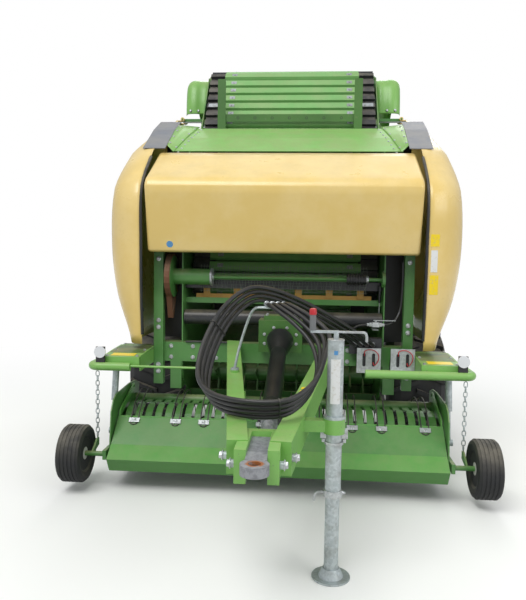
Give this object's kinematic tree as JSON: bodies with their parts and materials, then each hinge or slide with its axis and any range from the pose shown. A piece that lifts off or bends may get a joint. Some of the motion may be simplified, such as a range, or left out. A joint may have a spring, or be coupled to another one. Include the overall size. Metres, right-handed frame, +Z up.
{
  "type": "round baler",
  "caption": "Towed round baler with a tined pickup, hinged side covers, a swing-up tailgate and a belt-and-slat elevator.",
  "frame": {"origin": "on the ground below the middle of the machine's outline", "axes": "+X to the machine's left side, +Y towards the tailgate, +Z up; the tow eye points to -Y"},
  "size_m": [2.75, 4.698, 3.1433],
  "materials": {
    "green_paint": "worn, dusty semi-gloss paint",
    "bright_green_paint": "sun-faded semi-gloss paint",
    "dark_green_paint": "worn semi-gloss paint",
    "cream_paint": "faded gloss paint",
    "black_paint": "satin black paint",
    "rim_paint": "dusty pale paint",
    "galvanised": "zinc-coated steel",
    "forged_steel": "forged steel with rust",
    "tyre_rubber": "dusty rubber",
    "black_rubber": "worn rubber",
    "grey_rubber": "grey rubber sheet",
    "black_plastic": "moulded plastic",
    "white_plastic": "moulded plastic",
    "red_plastic": "clear coloured lens"
  },
  "bodies": {
    "root": {"frame": "green_paint", "axle": "green_paint", "drawbar": "bright_green_paint", "tow_eye": "forged_steel", "gearbox": "green_paint", "shaft_guard": "black_plastic", "net_wrap": "green_paint", "deflector": "bright_green_paint", "front_belts": "black_rubber", "front_slats": "green_paint", "platforms": "bright_green_paint", "guard_tubes": "bright_green_paint", "reflectors": "white_plastic", "wheel_chocks": "galvanised", "hose_holder": "galvanised", "valve_block": "forged_steel", "hose_1": "black_rubber", "hose_2": "black_rubber", "hose_3": "black_rubber", "hose_4": "black_rubber", "jack_tube": "galvanised", "jack_crank": "galvanised", "chain_left": "galvanised", "chain_right": "galvanised"},
    "wheel_left": {"tyre_left": "tyre_rubber", "rim_left": "rim_paint"},
    "wheel_right": {"tyre_right": "tyre_rubber", "rim_right": "rim_paint"},
    "guide_left": {"guide_wheel_left": "black_rubber"},
    "guide_right": {"guide_wheel_right": "black_rubber"},
    "pickup": {"pickup_frame": "green_paint", "stripper_bands": "dark_green_paint"},
    "guard": {"crop_guard": "green_paint"},
    "reel": {"pickup_reel": "black_paint"},
    "rotor": {"feed_rotor": "green_paint"},
    "starter": {"starter_roller": "black_paint"},
    "yoke": {"shaft_yoke": "forged_steel"},
    "tailgate_body": {"tailgate": "green_paint", "tailgate_covers": "bright_green_paint", "rear_belts": "black_rubber", "rear_slats": "green_paint", "rear_lamps": "red_plastic"},
    "gate_barrel_left": {"tailgate_barrel_left": "green_paint"},
    "gate_barrel_right": {"tailgate_barrel_right": "green_paint"},
    "gate_rod_left": {"tailgate_rod_left": "galvanised"},
    "gate_rod_right": {"tailgate_rod_right": "galvanised"},
    "lift_barrel_body_left": {"lift_barrel_left": "green_paint"},
    "lift_barrel_body_right": {"lift_barrel_right": "green_paint"},
    "lift_rod_body_left": {"lift_rod_left": "galvanised"},
    "lift_rod_body_right": {"lift_rod_right": "galvanised"},
    "hood_body": {"hood": "cream_paint"},
    "side_left": {"cover_left": "cream_paint", "flap_left": "grey_rubber"},
    "side_right": {"cover_right": "cream_paint", "flap_right": "grey_rubber"},
    "jack_slide_body": {"jack_leg": "galvanised"}
  },
  "joints": [
    {"name": "wheel_left_spin", "type": "hinge", "parent": "root", "child": "wheel_left", "pos_m": [1.115, 1.029, 0.47], "axis": [1, 0, 0], "continuous": true},
    {"name": "wheel_right_spin", "type": "hinge", "parent": "root", "child": "wheel_right", "pos_m": [-1.115, 1.029, 0.47], "axis": [1, 0, 0], "continuous": true},
    {"name": "pickup_lift", "type": "hinge", "parent": "root", "child": "pickup", "pos_m": [0, 0.039, 0.47], "axis": [-1, 0, 0], "range_deg": [0, 12], "deforming": ["chain_left", "chain_right"]},
    {"name": "guide_left_spin", "type": "hinge", "parent": "pickup", "child": "guide_left", "pos_m": [1.2975, -0.761, 0.235], "axis": [1, 0, 0], "continuous": true},
    {"name": "guide_right_spin", "type": "hinge", "parent": "pickup", "child": "guide_right", "pos_m": [-1.2975, -0.761, 0.235], "axis": [1, 0, 0], "continuous": true},
    {"name": "crop_guard_lift", "type": "hinge", "parent": "pickup", "child": "guard", "pos_m": [0, -0.231, 0.57], "axis": [-1, 0, 0], "range_deg": [0, 20]},
    {"name": "reel_spin", "type": "hinge", "parent": "pickup", "child": "reel", "pos_m": [0, -0.351, 0.288], "axis": [1, 0, 0], "continuous": true},
    {"name": "rotor_spin", "type": "hinge", "parent": "root", "child": "rotor", "pos_m": [0, 0.329, 0.59], "axis": [1, 0, 0], "continuous": true},
    {"name": "starter_spin", "type": "hinge", "parent": "root", "child": "starter", "pos_m": [0, -0.141, 1.08], "axis": [1, 0, 0], "continuous": true},
    {"name": "yoke_spin", "type": "hinge", "parent": "root", "child": "yoke", "pos_m": [0, -1.361, 0.69], "axis": [0, -0.963, -0.2695], "continuous": true},
    {"name": "tailgate_lift", "type": "hinge", "parent": "root", "child": "tailgate_body", "pos_m": [0, 1.049, 2.76], "axis": [1, 0, 0], "range_deg": [0, 55]},
    {"name": "tailgate_cylinder_left_swing", "type": "hinge", "parent": "root", "child": "gate_barrel_left", "pos_m": [0.8, 0.769, 1.25], "axis": [1, 0, 0], "range_deg": [0, 2]},
    {"name": "tailgate_rod_left_slide", "type": "slide", "parent": "gate_barrel_left", "child": "gate_rod_left", "axis": [0, 0.3566, 0.9343], "range_m": [0, 0.28]},
    {"name": "lift_cylinder_left_swing", "type": "hinge", "parent": "root", "child": "lift_barrel_body_left", "pos_m": [1.125, -0.461, 0.775], "axis": [-1, 0, 0], "range_deg": [0, 8]},
    {"name": "lift_rod_left_slide", "type": "slide", "parent": "lift_barrel_body_left", "child": "lift_rod_body_left", "axis": [0, -0.1876, -0.9822], "range_m": [-0.12, 0]},
    {"name": "tailgate_cylinder_right_swing", "type": "hinge", "parent": "root", "child": "gate_barrel_right", "pos_m": [-0.8, 0.769, 1.25], "axis": [1, 0, 0], "range_deg": [0, 2]},
    {"name": "tailgate_rod_right_slide", "type": "slide", "parent": "gate_barrel_right", "child": "gate_rod_right", "axis": [0, 0.3566, 0.9343], "range_m": [0, 0.28]},
    {"name": "lift_cylinder_right_swing", "type": "hinge", "parent": "root", "child": "lift_barrel_body_right", "pos_m": [-1.125, -0.461, 0.775], "axis": [-1, 0, 0], "range_deg": [0, 8]},
    {"name": "lift_rod_right_slide", "type": "slide", "parent": "lift_barrel_body_right", "child": "lift_rod_body_right", "axis": [0, -0.1876, -0.9822], "range_m": [-0.12, 0]},
    {"name": "hood_lift", "type": "hinge", "parent": "root", "child": "hood_body", "pos_m": [0, -0.091, 2.22], "axis": [-1, 0, 0], "range_deg": [0, 50]},
    {"name": "side_left_lift", "type": "hinge", "parent": "root", "child": "side_left", "pos_m": [0.935, 0.859, 2.7], "axis": [0, -1, 0], "range_deg": [0, 70]},
    {"name": "side_right_lift", "type": "hinge", "parent": "root", "child": "side_right", "pos_m": [-0.935, 0.859, 2.7], "axis": [0, 1, 0], "range_deg": [0, 70]},
    {"name": "jack_slide", "type": "slide", "parent": "root", "child": "jack_slide_body", "axis": [0, 0, 1], "range_m": [0, 0.13]}
  ],
  "couplings": [
    {"joint": "tailgate_cylinder_left_swing", "follows": "tailgate_lift", "ratio": 0.01818},
    {"joint": "tailgate_rod_left_slide", "follows": "tailgate_lift", "m_per_rad": 0.2846},
    {"joint": "lift_cylinder_left_swing", "follows": "pickup_lift", "ratio": 0.5617},
    {"joint": "lift_rod_left_slide", "follows": "pickup_lift", "m_per_rad": -0.5588},
    {"joint": "tailgate_cylinder_right_swing", "follows": "tailgate_lift", "ratio": 0.01818},
    {"joint": "tailgate_rod_right_slide", "follows": "tailgate_lift", "m_per_rad": 0.2846},
    {"joint": "lift_cylinder_right_swing", "follows": "pickup_lift", "ratio": 0.5617},
    {"joint": "lift_rod_right_slide", "follows": "pickup_lift", "m_per_rad": -0.5588}
  ]
}
